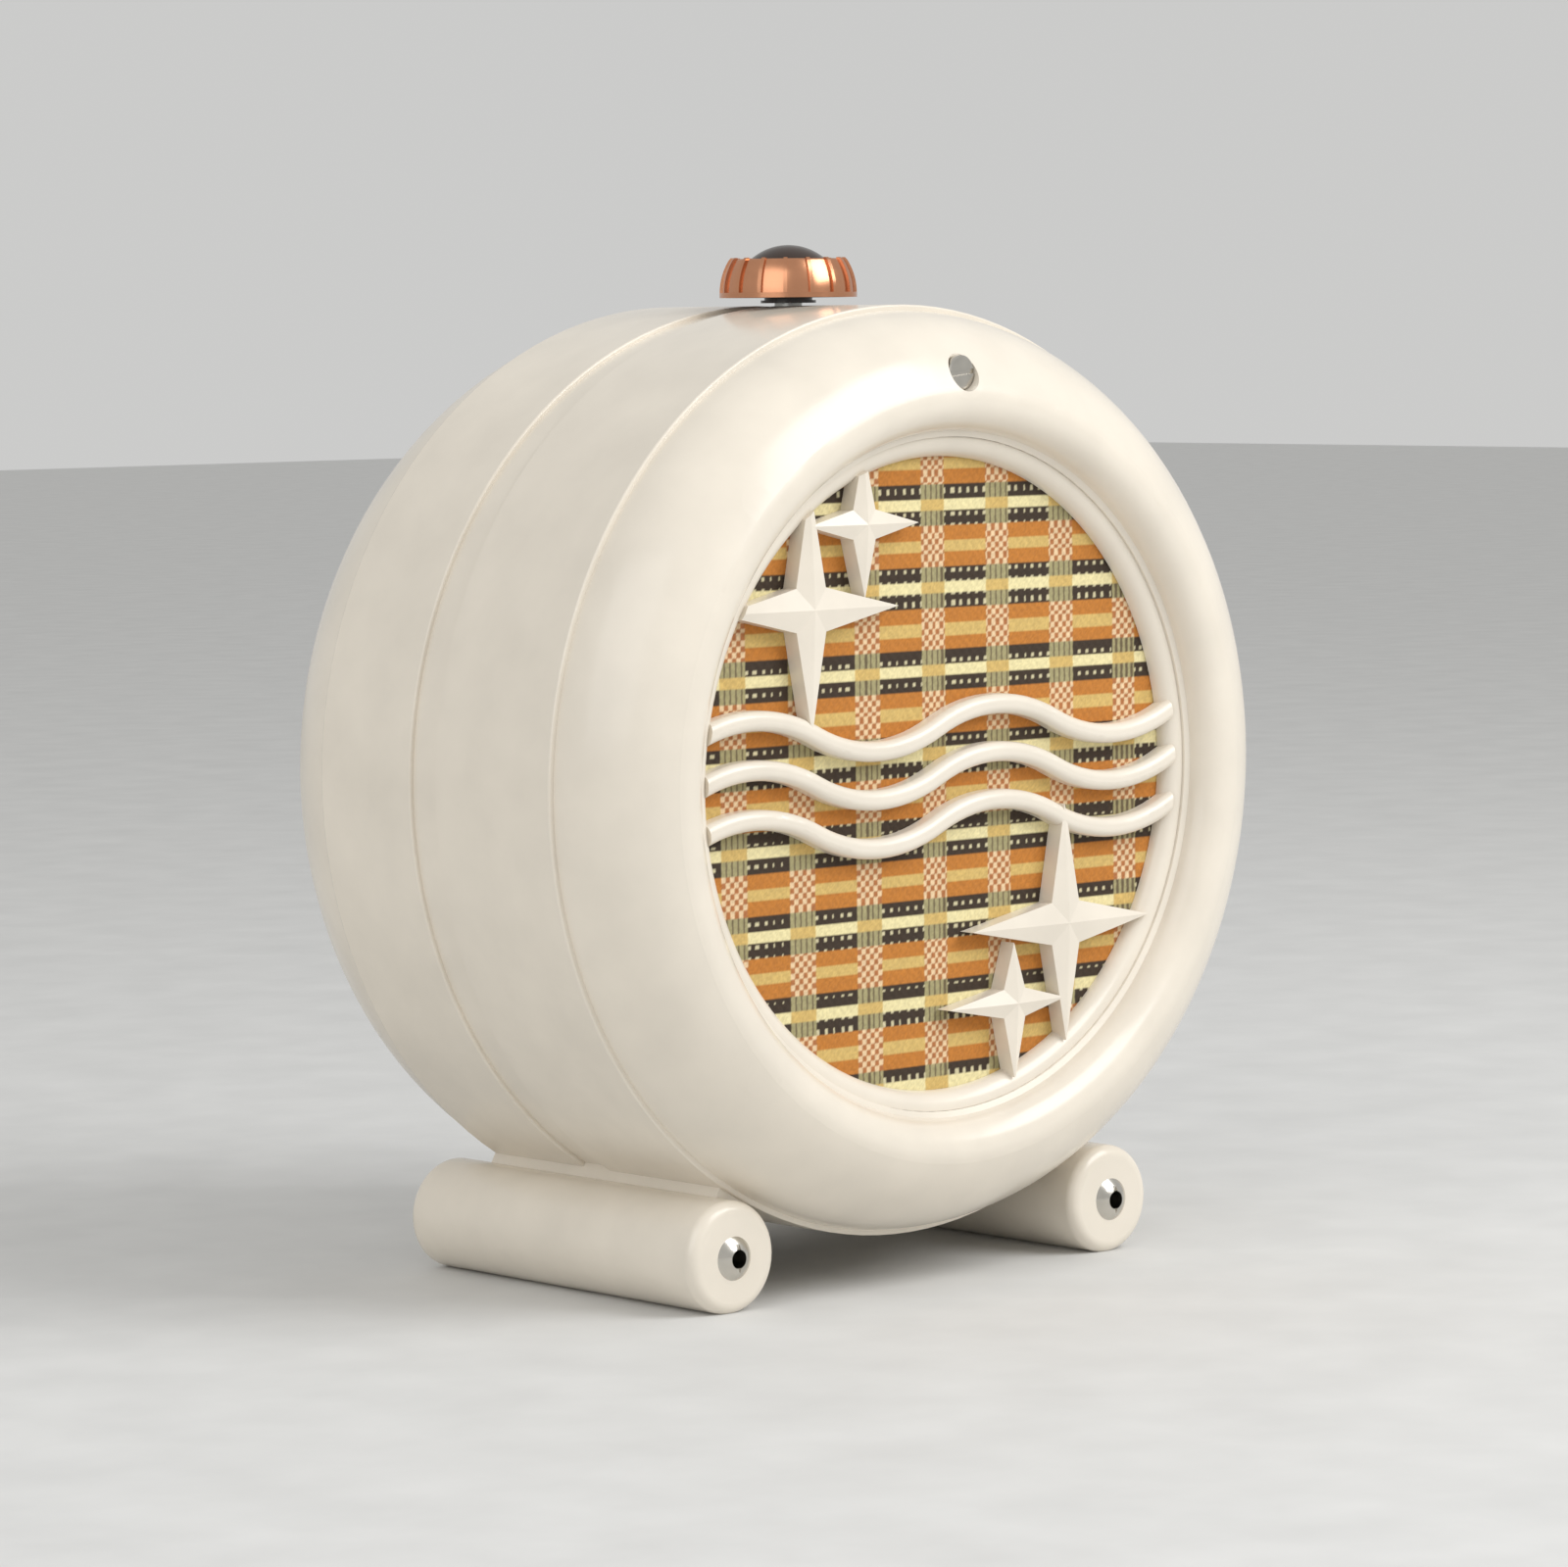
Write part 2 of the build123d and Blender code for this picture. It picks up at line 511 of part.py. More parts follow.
def speaker_frame_parts():
    """Everything in the loudspeaker that stays still."""
    keep("speaker_basket", speaker_basket())
    gasket = tube_y(SPEAKER_R, BOARD_HOLE_R, BOARD_BACK, BASKET_Y)
    for x, z in around(SPEAKER_BOLT_R, BOSS_ANGLES):
        gasket -= rod_y(1.75 + 2 * FIT, BOARD_BACK - 1, BASKET_Y + 1, x, z)
    keep("speaker_gasket", gasket)
    keep("front_pole_plate", tube_y(MAGNET_R - 2, COIL_OUT + 1.05, TOP_PLATE_Y, MAGNET_Y))
    keep("ring_magnet", tube_y(MAGNET_R, COIL_OUT + 3, MAGNET_Y, YOKE_Y))
    pole_r = COIL_R - GAP_IN
    keep("pole_yoke", rod_y(MAGNET_R - 1, YOKE_Y, YOKE_Y + PLATE_THICK) + rod_y(pole_r, TOP_PLATE_Y, YOKE_Y))
    bolts = []
    nuts = []
    for x, z in around(SPEAKER_BOLT_R, BOSS_ANGLES):
        bolt = rod_y(1.75, BOARD_Y, BASKET_BACK + 4, x, z)
        bolt += Pos(x, BOARD_Y + 1, z) * Rot(90, 0, 0) * Cone(1.75, 3.6, 2)
        bolts.append(bolt)
        nuts.append(hex_nut(6, BASKET_BACK, BASKET_BACK + 2.4, 1.75 + FIT, x, z))
    keep("speaker_bolts", *bolts)
    keep("speaker_nuts", *nuts)


def cone_parts():
    """The moving cone with its dome, former and winding, and the soft parts that hold it."""
    rim_y = BASKET_Y + 0.5
    neck_y = LEDGE_FACE_Y - 5.6
    neck_r = COIL_OUT + FIT
    keep("speaker_cone", turned_poly_y(
        (CONE_R, rim_y), (CONE_R - 1, rim_y), (neck_r, neck_y - 1), (neck_r, neck_y),
        (CONE_R - 0.6, rim_y + 0.6), (CONE_R, rim_y + 0.6)))
    cap_y = rim_y + (neck_y - 1 - rim_y) * (CONE_R - 1 - DUST_CAP_R) / (CONE_R - 1 - neck_r)
    keep("dust_cap", dust_cap(cap_y - 0.1))
    coil_mid = TOP_PLATE_Y + PLATE_THICK / 2
    keep("coil_former", tube_y(COIL_OUT, COIL_R, neck_y - 1.5, coil_mid + 3.8))
    keep("voice_coil", tube_y(COIL_OUT + 0.55, COIL_OUT + 0.02, coil_mid - 3.5, coil_mid + 3.5))
    roll_mid = (CONE_R + SURROUND_R) / 2
    lip_y = BASKET_Y - 0.4
    inner = ThreePointArc((CONE_R + 0.6, lip_y + 0.4), (roll_mid, lip_y - 2.6), (SURROUND_R - 0.4, lip_y + 0.4))
    outer = ThreePointArc((SURROUND_R, lip_y), (roll_mid, lip_y - 3.0), (CONE_R + 0.2, lip_y))
    surround = turned_y(inner, Polyline((SURROUND_R - 0.4, lip_y + 0.4), (BOARD_HOLE_R - 0.2, lip_y + 0.4),
                                        (BOARD_HOLE_R - 0.2, lip_y), (SURROUND_R, lip_y)), outer,
                        Polyline((CONE_R + 0.2, lip_y), (CONE_R - 1.2, lip_y),
                                 (CONE_R - 1.2, lip_y + 0.4), (CONE_R + 0.6, lip_y + 0.4)))
    keep("cone_surround", surround)
    keep("spider", spider())


def dust_cap(seat_y):
    """Thin dome glued over the middle of the cone."""
    ball_r = DUST_CAP_R * 1.6
    centre = Pos(0, seat_y + math.sqrt(ball_r ** 2 - DUST_CAP_R ** 2), 0)
    shell = centre * Sphere(ball_r) - centre * Sphere(ball_r - 0.5)
    return shell & rod_y(DUST_CAP_R + 1, seat_y - ball_r, seat_y)


def spider():
    """Corrugated disc between the coil former and the basket's ledge."""
    count = 8
    start = COIL_OUT + SOFT
    stop = BACK_R - SHEET - 0.4
    pitch = (stop - start) / count
    top_y = LEDGE_FACE_Y - 0.5
    front = [(start + i * pitch, top_y - (0.9 if i % 2 else 0)) for i in range(count + 1)]
    back = [(r, y + 0.5) for r, y in reversed(front)]
    return turned_poly_y(*front, (LEDGE_R - 0.6, top_y), (LEDGE_R - 0.6, top_y + 0.5), *back)


def terminal_parts():
    """Laminate strip with two solder tags, riveted behind the basket's flange."""
    near = SPEAKER_R - 5.5
    slot_x = near + 11
    strip = block(near, near + 18.5, BASKET_BACK, BASKET_BACK + 1.6, -8, 8)
    tags = []
    for z in (-4.5, 4.5):
        strip -= block(slot_x - 0.6, slot_x + 0.6, BASKET_BACK - 1, BASKET_BACK + 3, z - 1.6, z + 1.6)
        tag = block(slot_x - 0.5, slot_x + 0.5, BASKET_BACK + 0.2, BASKET_BACK + 8, z - 1.5, z + 1.5)
        tag += block(slot_x - 2.5, slot_x, BASKET_BACK + 1.6, BASKET_BACK + 2.2, z - 1.5, z + 1.5)
        tags.append(tag - Pos(slot_x, BASKET_BACK + 6, z) * Rot(0, 90, 0) * Cylinder(0.8, 4))
    keep("terminal_strip", strip)
    keep("terminal_tags", *tags)


# ---------------------------------------------------------------- matching transformer
def transformer_core():
    """Laminated core with two windows."""
    half_x, half_y, half_z = CORE[0] / 2, CORE[1] / 2, CORE[2] / 2
    core = block(-half_x, half_x, CORE_Y - half_y, CORE_Y + half_y, COIL_BOX_Z - half_z, COIL_BOX_Z + half_z)
    for side in (-1, 1):
        middle = COIL_BOX_Z + side * (LEG + WINDOW) / 2
        core -= block(-half_x + YOKE_WIDTH, half_x - YOKE_WIDTH, CORE_Y - half_y - 1, CORE_Y + half_y + 1,
                      middle - WINDOW / 2, middle + WINDOW / 2)
    return core


def transformer_parts():
    """Core, bobbin, winding, clips and their screws."""
    keep("transformer_core", transformer_core())
    sleeve_y = CORE[1] / 2 + FIT
    sleeve_z = LEG / 2 + FIT
    wall = 0.7
    half = CORE[0] / 2 - YOKE_WIDTH - FIT
    rim_z = LEG / 2 + WINDOW - FIT
    rim_y = CORE[1] / 2 + 5
    bore = block(-20, 20, CORE_Y - sleeve_y, CORE_Y + sleeve_y, COIL_BOX_Z - sleeve_z, COIL_BOX_Z + sleeve_z)
    tube = block(-half, half, CORE_Y - sleeve_y - wall, CORE_Y + sleeve_y + wall,
                 COIL_BOX_Z - sleeve_z - wall, COIL_BOX_Z + sleeve_z + wall)
    bobbin = tube
    for x in (-half, half - wall):
        bobbin += block(x, x + wall, CORE_Y - rim_y, CORE_Y + rim_y, COIL_BOX_Z - rim_z, COIL_BOX_Z + rim_z)
    keep("transformer_bobbin", bobbin - bore)
    inside = half - wall - FIT
    pack = block(-inside, inside, CORE_Y - rim_y + 1, CORE_Y + rim_y - 1,
                 COIL_BOX_Z - rim_z + 0.5, COIL_BOX_Z + rim_z - 0.5)
    pack = fillet(pack.edges().filter_by(Axis.X), 1.5)
    keep("transformer_winding", pack - tube)
    clips = [transformer_clip(side) for side in (-1, 1)]
    keep("transformer_clips", *clips)
    screws = []
    for side in (-1, 1):
        seat = BOARD_BACK + SHEET
        screw = rod_y(2.2, seat, seat + 1.5, side * CLIP_SCREW_X, COIL_BOX_Z)
        screws.append(screw + rod_y(1.2, BOARD_BACK - 4, seat, side * CLIP_SCREW_X, COIL_BOX_Z))
    keep("transformer_screws", *screws)


def transformer_clip(side):
    """Bent strip that grips one yoke of the core and stands on the board."""
    outer = CORE[0] / 2 + FIT
    half_y = CORE[1] / 2 + FIT
    low, high = COIL_BOX_Z - 5, COIL_BOX_Z + 5
    leg = block(outer, outer + SHEET, BOARD_BACK, CORE_Y + half_y + 1, low, high)
    for y in (CORE_Y - half_y - 1, CORE_Y + half_y):
        leg += block(outer - YOKE_WIDTH + 0.5, outer, y, y + 1, low, high)
    leg += block(outer, CLIP_SCREW_X + 3.5, BOARD_BACK, BOARD_BACK + SHEET, low, high)
    leg -= rod_y(1.2 + 2 * FIT, BOARD_BACK - 1, BOARD_BACK + 3, CLIP_SCREW_X, COIL_BOX_Z)
    return leg if side > 0 else mirror(leg, Plane.YZ)


# ---------------------------------------------------------------- volume control
def pot_bracket():
    """Bent steel strip: foot on the board, shelf for the control, rear foot for the tie screw."""
    bracket = block(-BRACKET_HALF, BRACKET_HALF, BOARD_BACK, FLANGE_REAR_Y + BRACKET_SHEET,
                    BRACKET_Z, BRACKET_TOP)
    bracket += block(-BRACKET_HALF, BRACKET_HALF, BOARD_BACK, BOARD_BACK + BRACKET_SHEET,
                     BRACKET_SCREW_Z - 4, BRACKET_TOP)
    bracket += block(-9, 9, FLANGE_REAR_Y, FLANGE_REAR_Y + BRACKET_SHEET, TIE_Z - 6, BRACKET_TOP)
    bracket -= rod_z(BUSH_R + FIT, BRACKET_Z - 1, BRACKET_TOP + 1, 0, KNOB_Y)
    bracket -= rod_y(M4 + FIT, BOARD_BACK - 1, BOARD_BACK + 3, 0, TOP_SCREW_Z)
    bracket -= rod_y(M4 + FIT, FLANGE_REAR_Y - 1, FLANGE_REAR_Y + 3, 0, TIE_Z)
    for x in (-8, 8):
        bracket -= rod_y(1.5 + 2 * FIT, BOARD_BACK - 1, BOARD_BACK + 3, x, BRACKET_SCREW_Z)
    return bracket


def pot_parts():
    """Can, face plate with bush, nut, resistance track, tags, shaft and wiper."""
    keep("pot_bracket", pot_bracket())
    seat = BOARD_BACK + BRACKET_SHEET
    keep("bracket_screws", *[rod_y(2.8, seat, seat + 1.8, x, BRACKET_SCREW_Z)
                             + rod_y(1.5, BOARD_BACK - 4, seat, x, BRACKET_SCREW_Z) for x in (-8, 8)])
    face_z = BRACKET_Z - BRACKET_SHEET
    can = rod_z(POT_R, POT_FLOOR, face_z, 0, KNOB_Y) - rod_z(POT_R - POT_WALL, TRACK_Z, BRACKET_Z, 0, KNOB_Y)
    tags = []
    for x in (-5, 0, 5):
        reach = block(x - 1.2, x + 1.2, KNOB_Y - POT_R - 6, KNOB_Y - 8, TRACK_Z + 1, TRACK_Z + 1.5)
        can -= block(x - 1.2 - FIT, x + 1.2 + FIT, KNOB_Y - POT_R - 1, KNOB_Y - 8,
                     TRACK_Z + 1 - FIT, TRACK_Z + 1.5 + FIT)
        tags.append(reach - rod_z(0.6, TRACK_Z, TRACK_Z + 3, x, KNOB_Y - POT_R - 4.3))
    keep("pot_can", can)
    keep("pot_tags", *tags)
    track = rod_z(10.5, TRACK_Z, TRACK_Z + 1, 0, KNOB_Y) - rod_z(7, TRACK_Z - 1, TRACK_Z + 2, 0, KNOB_Y)
    track -= block(-3, 3, KNOB_Y, KNOB_Y + POT_R, TRACK_Z - 1, TRACK_Z + 2)
    keep("pot_track", track)
    bush = rod_z(POT_R, face_z, BRACKET_Z, 0, KNOB_Y) + rod_z(BUSH_R, BRACKET_Z, BRACKET_TOP + 2.6, 0, KNOB_Y)
    keep("pot_bush", bush - rod_z(SHAFT_R + RUN, face_z - 1, BRACKET_TOP + 4, 0, KNOB_Y))
    nut = extrude(Pos(0, KNOB_Y, BRACKET_TOP) * RegularPolygon(BUSH_R + 1.5, 6, major_radius=False), 2)
    keep("pot_nut", nut - rod_z(BUSH_R + FIT, BRACKET_TOP - 1, BRACKET_TOP + 4, 0, KNOB_Y))
    shaft_top = DRUM_TOP + 7.0
    keep("pot_shaft", rod_z(SHAFT_R, TRACK_Z + 1.2, shaft_top, 0, KNOB_Y))
    wiper = rod_z(SHAFT_R + 1.5, WIPER_Z, WIPER_Z + 1, 0, KNOB_Y)
    wiper += block(-1.2, 1.2, KNOB_Y - 9.8, KNOB_Y, WIPER_Z, WIPER_Z + 1)
    keep("pot_wiper", wiper - rod_z(SHAFT_R + 0.02, WIPER_Z - 1, WIPER_Z + 2, 0, KNOB_Y))


# ---------------------------------------------------------------- knob
def knob_face(*edges):
    """Face in the XZ plane from an outline given as (radius, height above the drum)."""
    return Plane.XZ * make_face(Sketch() + list(edges))


def skirt_curve(offset_r):
    """Curved flank of the skirt, offset_r outside the facets."""
    low = (KNOB_R - 0.65 + offset_r, SKIRT_BOTTOM + RIM_HEIGHT)
    middle = (KNOB_R - 1.25 + offset_r, SKIRT_BOTTOM + 5.0)
    top = (KNOB_TOP_R + offset_r, SKIRT_TOP - 0.3)
    return ThreePointArc(low, middle, top)


def knob_skirt():
    """Plated skirt with raised ribs."""
    top = SKIRT_TOP
    hub_r = KNOB_TOP_R - 0.85
    outline = Polyline(
        (KNOB_TOP_R, top - 0.3), (KNOB_TOP_R - 0.4, top), (CAP_R + 0.1, top), (CAP_R + 0.1, top - 1.2),
        (hub_r, top - 1.2), (hub_r, top - 3.6), (KNOB_R - 1.4, SKIRT_BOTTOM + 1.2),
        (KNOB_R - 1.1, SKIRT_BOTTOM), (KNOB_R, SKIRT_BOTTOM), (KNOB_R, SKIRT_BOTTOM + RIM_HEIGHT),
        (KNOB_R - 0.65, SKIRT_BOTTOM + RIM_HEIGHT))
    skirt = revolve(knob_face(outline, skirt_curve(0)), Axis.Z, 360)
    flank = skirt_curve(RIB_PROUD)
    rib_line = Polyline((KNOB_TOP_R + RIB_PROUD, top - 0.3), (KNOB_TOP_R + 0.1, top + 0.25),
                        (KNOB_TOP_R - 0.6, top + 0.25), (KNOB_TOP_R - 0.6, top - 1.0),
                        (KNOB_R - 1.3, SKIRT_BOTTOM + RIM_HEIGHT),
                        (KNOB_R - 0.65 + RIB_PROUD, SKIRT_BOTTOM + RIM_HEIGHT))
    rib = extrude(knob_face(rib_line, flank), RIB_WIDTH / 2, both=True)
    for i in range(RIBS):
        skirt += Rot(0, 0, i * 360 / RIBS) * rib
    return skirt


def knob_parts():
    """Core with its neck, plated skirt, domed cap and set screw."""
    up = Pos(0, KNOB_Y, DRUM_TOP)
    disc_top = SKIRT_TOP - 1.2
    disc_r = KNOB_TOP_R - 0.9
    core = Cylinder(NECK_R, disc_top - KNOB_GAP, align=(Align.CENTER, Align.CENTER, Align.MIN))
    core = Pos(0, 0, KNOB_GAP) * core + Pos(0, 0, disc_top - 1) * Cylinder(disc_r, 2)
    core += Pos(0, 0, KNOB_GAP + 0.3) * Cylinder(NECK_R + 0.8, 0.6)
    core -= Pos(0, 0, KNOB_GAP + 3.3) * Cylinder(SHAFT_R + 0.02, 7.4)
    screw_z = KNOB_GAP + 2.8
    hole = Pos(0, (SHAFT_R + NECK_R) / 2 + 0.5, screw_z) * Rot(90, 0, 0) * Cylinder(1.25 + FIT, 4)
    keep("knob_core", up * (core - hole))
    length = NECK_R - SHAFT_R - 0.35
    screw = Pos(0, SHAFT_R + 0.05 + length / 2, screw_z) * Rot(90, 0, 0) * Cylinder(1.25, length)
    keep("knob_set_screw", up * screw)
    keep("knob_skirt", up * knob_skirt())
    column = Cylinder(CAP_R, CAP_TOP, align=(Align.CENTER, Align.CENTER, Align.MIN))
    keep("knob_cap", up * ((Pos(0, 0, disc_top) * column) & (Pos(0, 0, CAP_TOP - CAP_SPHERE_R) * Sphere(CAP_SPHERE_R))))


# ---------------------------------------------------------------- fasteners and outlet
def domed_head(radius, height):
    """Domed screw head that rises towards -Y from y = 0, with a slot across it."""
    ball_r = (radius ** 2 + height ** 2) / (2 * height)
    half = ball_r * math.sin(math.asin(radius / ball_r) / 2)
    middle = (half, -height + ball_r - math.sqrt(ball_r ** 2 - half ** 2))
    head = turned_y(ThreePointArc((radius, 0), middle, (0, -height)), Polyline((0, -height), (0, 0), (radius, 0)))
    return head - Box(1.1, 1.6, 3 * radius).move(Location((0, -height, 0)))


def foot_fasteners():
    """Sleeve nuts in the front ends of the feet and the bolts that enter them from behind."""
    sleeves = []
    bolts = []
    for side in (-1, 1):
        x = side * FOOT_X
        sleeve = Pos(x, FOOT_FRONT_Y, FOOT_Z) * domed_head(NUT_HEAD_R, 1.9)
        sleeve += rod_y(SLEEVE_R, FOOT_FRONT_Y, FOOT_FRONT_Y + SLEEVE_LENGTH, x, FOOT_Z)
        bore_end = FOOT_FRONT_Y + SLEEVE_LENGTH
        sleeves.append(sleeve - rod_y(M4, FOOT_FRONT_Y - 3, bore_end + 1, x, FOOT_Z))
        head_y = FOOT_REAR_Y - FOOT_SINK
        bolt = rod_y(M4 - FIT, FOOT_FRONT_Y + 12, head_y, x, FOOT_Z) + rod_y(4, head_y, head_y + 2.8, x, FOOT_Z)
        bolts.append(bolt - block(x - 4.5, x + 4.5, head_y + 1.6, head_y + 4, FOOT_Z - 0.5, FOOT_Z + 0.5))
    keep("foot_sleeve_nuts", *sleeves)
    keep("foot_bolts", *bolts)


def case_screws():
    """Top front screw with its nut, rear tie screw with its nut, board screws."""
    seat = TOP_SEAT_Y
    slot = Rot(0, -6, 0) * Box(9, 1.2, 1.1)
    screw = rod_y(TOP_SCREW_HEAD_R, seat - 2, seat, 0, TOP_SCREW_Z)
    screw = chamfer(screw.edges().filter_by(GeomType.CIRCLE).sort_by(Axis.Y)[0], 0.3)
    screw -= Pos(0, seat - 2, TOP_SCREW_Z) * slot
    nut_y = BOARD_BACK + BRACKET_SHEET
    screw += rod_y(M4, seat, nut_y + 4, 0, TOP_SCREW_Z)
    keep("top_case_screw", screw)
    keep("top_screw_nut", hex_nut(7, nut_y, nut_y + 3, M4 + FIT, 0, TOP_SCREW_Z))
    tie = rod_y(4, TIE_HEAD_Y, TIE_HEAD_Y + 2.8, 0, TIE_Z)
    tie -= block(-4.5, 4.5, TIE_HEAD_Y + 1.6, TIE_HEAD_Y + 4, TIE_Z - 0.5, TIE_Z + 0.5)
    keep("rear_tie_screw", tie + rod_y(M4, FLANGE_REAR_Y - 3.2, TIE_HEAD_Y, 0, TIE_Z))
    keep("rear_tie_nut", hex_nut(7, FLANGE_REAR_Y - 3, FLANGE_REAR_Y, M4 + FIT, 0, TIE_Z))
    keep("baffle_screws", *[rod_y(3, BOARD_BACK, BOARD_BACK + 2, x, z)
                            + rod_y(1.5, BOARD_Y - 6, BOARD_BACK, x, z)
                            for x, z in around(BOSS_PITCH_R, BOSS_ANGLES)])


def cord_grommet():
    """Rubber grommet in the cord outlet of the rear face."""
    outer_y = REAR_Y - 0.1
    groove_out = outer_y - GROMMET_FLANGE
    groove_in = groove_out - WALL
    return Pos(0, 0, OUTLET_Z) * turned_poly_y(
        (OUTLET_BORE_R, outer_y), (GROMMET_R, outer_y), (GROMMET_R, groove_out),
        (GROOVE_R - FIT, groove_out), (GROOVE_R - FIT, groove_in), (GROMMET_R, groove_in),
        (GROMMET_R, groove_in - GROMMET_FLANGE), (OUTLET_BORE_R, groove_in - GROMMET_FLANGE))


def build():
    """Make every node."""
    keep("front_shell", front_shell())
    keep("rear_shell", rear_shell())
    keep("grille_insert", grille_insert())
    cloth_and_board()
    speaker_frame_parts()
    cone_parts()
    terminal_parts()
    transformer_parts()
    pot_parts()
    knob_parts()
    foot_fasteners()
    case_screws()
    keep("cord_grommet", cord_grommet())


build()
os.makedirs("parts", exist_ok=True)
for node, solids in PARTS.items():
    shape = solids[0] if len(solids) == 1 else Compound(children=solids)
    export_step(shape, f"parts/{node}.step")
print(len(PARTS), "nodes; centre height", round(CENTRE_Z, 3), "seam", round(SEAM_Y, 3),
      "front", round(FRONT_Y, 3), "rear", round(REAR_Y, 3))
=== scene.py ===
import json
import math
import random
import bpy
from mathutils import Matrix, Vector


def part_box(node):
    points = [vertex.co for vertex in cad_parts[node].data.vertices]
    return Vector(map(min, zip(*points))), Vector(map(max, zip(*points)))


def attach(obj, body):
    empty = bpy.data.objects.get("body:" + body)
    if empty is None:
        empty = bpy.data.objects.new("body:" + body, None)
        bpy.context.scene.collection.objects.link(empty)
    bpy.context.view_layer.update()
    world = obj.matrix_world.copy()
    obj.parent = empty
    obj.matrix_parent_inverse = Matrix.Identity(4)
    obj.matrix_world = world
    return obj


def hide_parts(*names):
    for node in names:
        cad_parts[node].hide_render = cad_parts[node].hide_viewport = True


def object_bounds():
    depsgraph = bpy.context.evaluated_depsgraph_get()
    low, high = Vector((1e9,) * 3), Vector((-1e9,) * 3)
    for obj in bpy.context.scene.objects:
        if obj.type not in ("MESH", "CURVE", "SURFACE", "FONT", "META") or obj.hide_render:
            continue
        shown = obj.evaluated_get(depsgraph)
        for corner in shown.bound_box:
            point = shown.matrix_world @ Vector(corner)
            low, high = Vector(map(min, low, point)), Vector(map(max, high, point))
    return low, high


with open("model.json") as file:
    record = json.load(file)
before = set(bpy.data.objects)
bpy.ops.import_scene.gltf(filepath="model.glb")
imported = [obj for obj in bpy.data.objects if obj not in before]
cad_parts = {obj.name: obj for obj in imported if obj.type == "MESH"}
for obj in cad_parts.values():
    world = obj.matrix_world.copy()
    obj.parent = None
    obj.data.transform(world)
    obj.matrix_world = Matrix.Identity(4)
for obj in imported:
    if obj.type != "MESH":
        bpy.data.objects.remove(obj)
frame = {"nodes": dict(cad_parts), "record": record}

CAD_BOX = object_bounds()
RNG = random.Random(7)
MM = 0.001
CLOTH_R = 78.9 * MM
CLOTH_STEP = 0.4 * MM
THREAD = 1.2
RELIEF = 0.07 * MM

# slot: (linear colour, roughness, metallic, noise scale per metre, bump)
LOOKS = {
    "cream_case": ((0.86, 0.79, 0.68), 0.22, 0.0, 60, 0.02),
    "woven_cloth": ((0.40, 0.22, 0.07), 0.80, 0.0, 900, 0.20),
    "fibre_board": ((0.22, 0.13, 0.07), 0.85, 0.0, 500, 0.20),
    "zinc_steel": ((0.60, 0.60, 0.57), 0.35, 1.0, 300, 0.05),
    "nickel_steel": ((0.66, 0.63, 0.57), 0.22, 1.0, 300, 0.03),
    "painted_steel": ((0.05, 0.05, 0.06), 0.45, 0.0, 300, 0.05),
    "copper_plate": ((0.72, 0.34, 0.19), 0.22, 1.0, 250, 0.05),
    "dark_moulding": ((0.035, 0.018, 0.012), 0.20, 0.0, 150, 0.02),
    "black_paper": ((0.03, 0.03, 0.03), 0.90, 0.0, 800, 0.20),
    "varnished_cloth": ((0.35, 0.20, 0.08), 0.50, 0.0, 800, 0.15),
    "brown_laminate": ((0.20, 0.09, 0.04), 0.45, 0.0, 300, 0.05),
    "tinned_brass": ((0.70, 0.66, 0.55), 0.35, 1.0, 300, 0.05),
    "carbon_track": ((0.02, 0.02, 0.02), 0.60, 0.0, 500, 0.05),
    "ferrite": ((0.06, 0.06, 0.06), 0.70, 0.0, 500, 0.10),
    "core_iron": ((0.20, 0.18, 0.17), 0.50, 1.0, 400, 0.08),
    "enamelled_wire": ((0.55, 0.20, 0.08), 0.30, 0.6, 900, 0.10),
    "black_rubber": ((0.02, 0.02, 0.02), 0.75, 0.0, 500, 0.08),
}


def finish_material(name, look, attribute=None):
    colour, rough, metal, scale, bump_strength = look
    mat = bpy.data.materials.new(name)
    mat.use_nodes = True
    nodes, links = mat.node_tree.nodes, mat.node_tree.links
    shader = nodes["Principled BSDF"]
    shader.inputs["Metallic"].default_value = metal
    place = nodes.new("ShaderNodeTexCoord")
    noise = nodes.new("ShaderNodeTexNoise")
    noise.inputs["Scale"].default_value = scale
    noise.inputs["Detail"].default_value = 6
    links.new(place.outputs["Object"], noise.inputs["Vector"])
    mix = nodes.new("ShaderNodeMix")
    mix.data_type = "RGBA"
    mix.blend_type = "MULTIPLY"
    mix.inputs[0].default_value = 0.18
    if attribute:
        source = nodes.new("ShaderNodeAttribute")
        source.attribute_name = attribute
        links.new(source.outputs["Color"], mix.inputs[6])
    else:
        mix.inputs[6].default_value = (*colour, 1)
    links.new(noise.outputs["Fac"], mix.inputs[7])
    links.new(mix.outputs[2], shader.inputs["Base Color"])
    spread = nodes.new("ShaderNodeMapRange")
    spread.inputs["To Min"].default_value = max(0.05, rough - 0.08)
    spread.inputs["To Max"].default_value = min(1.0, rough + 0.08)
    links.new(noise.outputs["Fac"], spread.inputs["Value"])
    links.new(spread.outputs["Result"], shader.inputs["Roughness"])
    bump = nodes.new("ShaderNodeBump")
    bump.inputs["Strength"].default_value = bump_strength
    bump.inputs["Distance"].default_value = 0.2 * MM
    links.new(noise.outputs["Fac"], bump.inputs["Height"])
    links.new(bump.outputs["Normal"], shader.inputs["Normal"])
    return mat


def paint_cad():
    mats = {name: finish_material(name, look) for name, look in LOOKS.items()}
    for part in frame["record"]["subparts"]:
        data = frame["nodes"][part["node"]].data
        data.materials.clear()
        data.materials.append(mats[part["material_slot"]])


